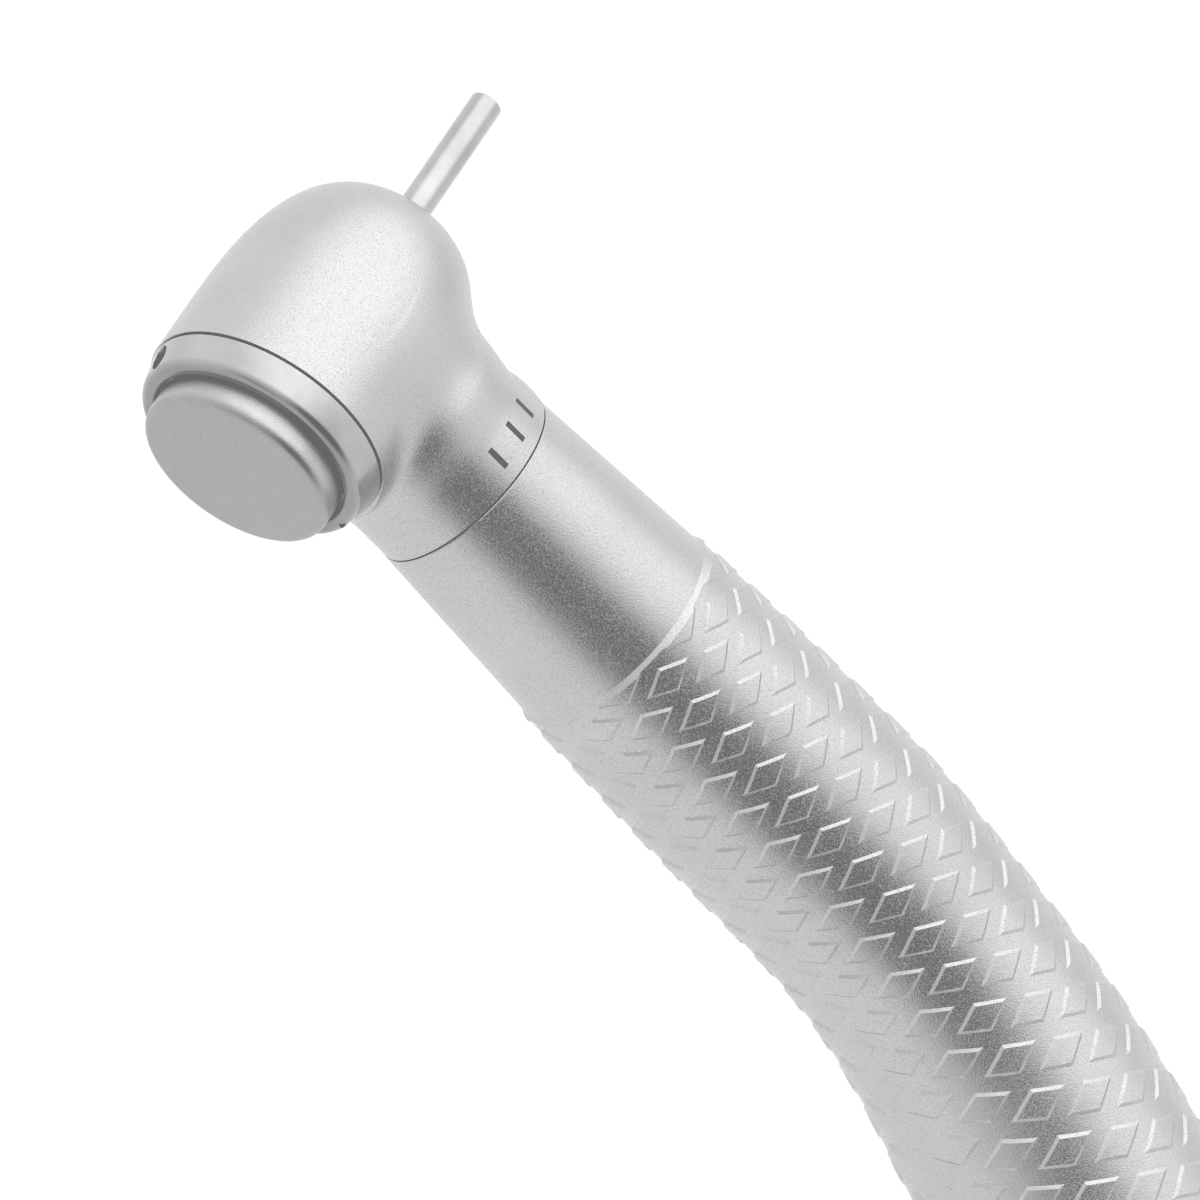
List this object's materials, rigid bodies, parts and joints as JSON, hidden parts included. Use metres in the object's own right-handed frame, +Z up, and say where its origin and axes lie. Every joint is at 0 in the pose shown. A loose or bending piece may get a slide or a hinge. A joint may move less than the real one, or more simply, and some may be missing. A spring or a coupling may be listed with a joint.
{
  "type": "high speed handpiece",
  "caption": "Air-turbine dental handpiece: push-button chuck head with a test pin, bent satin grip with raised diamonds, threaded hose connector.",
  "frame": {"origin": "under the middle of the handpiece's box, on the surface it lies on", "axes": "+X from the head towards the hose connector, +Y along the head's axis from the push button to the instrument, +Z up; the plane of the bend is level"},
  "size_m": [0.1228, 0.0388, 0.0149],
  "materials": {
    "satin_steel": "bead-blasted satin",
    "machined_steel": "fine turned",
    "button_metal": "smooth satin",
    "polished_steel": "ground and polished",
    "brass": "turned",
    "rubber": "matt",
    "cage_polymer": "machined phenolic"
  },
  "bodies": {
    "handpiece": {"head_housing": "satin_steel", "spray_nozzle": "machined_steel", "back_cap": "satin_steel", "button_spring": "machined_steel", "button_retaining_ring": "machined_steel", "front_bearing_outer_race": "polished_steel", "rear_bearing_outer_race": "polished_steel", "front_bearing_o_ring": "rubber", "rear_bearing_o_ring": "rubber", "front_wave_washer": "machined_steel", "grip_sleeve": "satin_steel", "neck_o_ring": "rubber", "drive_air_tube": "machined_steel", "water_tube": "machined_steel", "chip_air_tube": "machined_steel", "rear_manifold": "brass", "rear_o_ring": "rubber", "rear_collar": "satin_steel", "hose_connector": "machined_steel", "drive_air_nipple": "machined_steel", "water_nipple": "machined_steel", "chip_air_nipple": "machined_steel"},
    "rotor": {"spindle": "polished_steel", "impeller": "machined_steel", "collet_chuck": "polished_steel", "chuck_spring": "machined_steel", "front_bearing_inner_race": "polished_steel", "rear_bearing_inner_race": "polished_steel", "front_dust_shield": "machined_steel"},
    "plunger": {"chuck_plunger": "machined_steel"},
    "pin": {"test_pin": "polished_steel"},
    "button": {"push_button": "button_metal"},
    "front_balls": {"front_bearing_cage": "cage_polymer", "front_bearing_ball_1": "polished_steel", "front_bearing_ball_2": "polished_steel", "front_bearing_ball_3": "polished_steel", "front_bearing_ball_4": "polished_steel", "front_bearing_ball_5": "polished_steel", "front_bearing_ball_6": "polished_steel", "front_bearing_ball_7": "polished_steel"},
    "rear_balls": {"rear_bearing_cage": "cage_polymer", "rear_bearing_ball_1": "polished_steel", "rear_bearing_ball_2": "polished_steel", "rear_bearing_ball_3": "polished_steel", "rear_bearing_ball_4": "polished_steel", "rear_bearing_ball_5": "polished_steel", "rear_bearing_ball_6": "polished_steel", "rear_bearing_ball_7": "polished_steel"}
  },
  "joints": [
    {"name": "rotor_spin", "type": "hinge", "parent": "handpiece", "child": "rotor", "pos_m": [-0.05526, 0.00399, 0.00746], "axis": [0, 1, 0], "continuous": true},
    {"name": "front_cage_orbit", "type": "hinge", "parent": "handpiece", "child": "front_balls", "pos_m": [-0.05526, 0.00399, 0.00746], "axis": [0, 1, 0], "continuous": true},
    {"name": "rear_cage_orbit", "type": "hinge", "parent": "handpiece", "child": "rear_balls", "pos_m": [-0.05526, 0.00399, 0.00746], "axis": [0, 1, 0], "continuous": true},
    {"name": "button_press", "type": "slide", "parent": "handpiece", "child": "button", "axis": [0, 1, 0], "range_m": [0, 0.0006], "stiffness_N_per_m": 1500, "springref_m": -0.0005, "deforming": ["button_spring"]},
    {"name": "plunger_release", "type": "slide", "parent": "rotor", "child": "plunger", "axis": [0, 1, 0], "range_m": [0, 0.0003], "deforming": ["chuck_spring"]},
    {"name": "pin_pull", "type": "slide", "parent": "rotor", "child": "pin", "axis": [0, 1, 0], "range_m": [0, 0.012]}
  ],
  "couplings": [
    {"joint": "front_cage_orbit", "follows": "rotor_spin", "ratio": 0.395},
    {"joint": "rear_cage_orbit", "follows": "rotor_spin", "ratio": 0.395},
    {"joint": "plunger_release", "follows": "button_press", "ratio": 0.5}
  ]
}
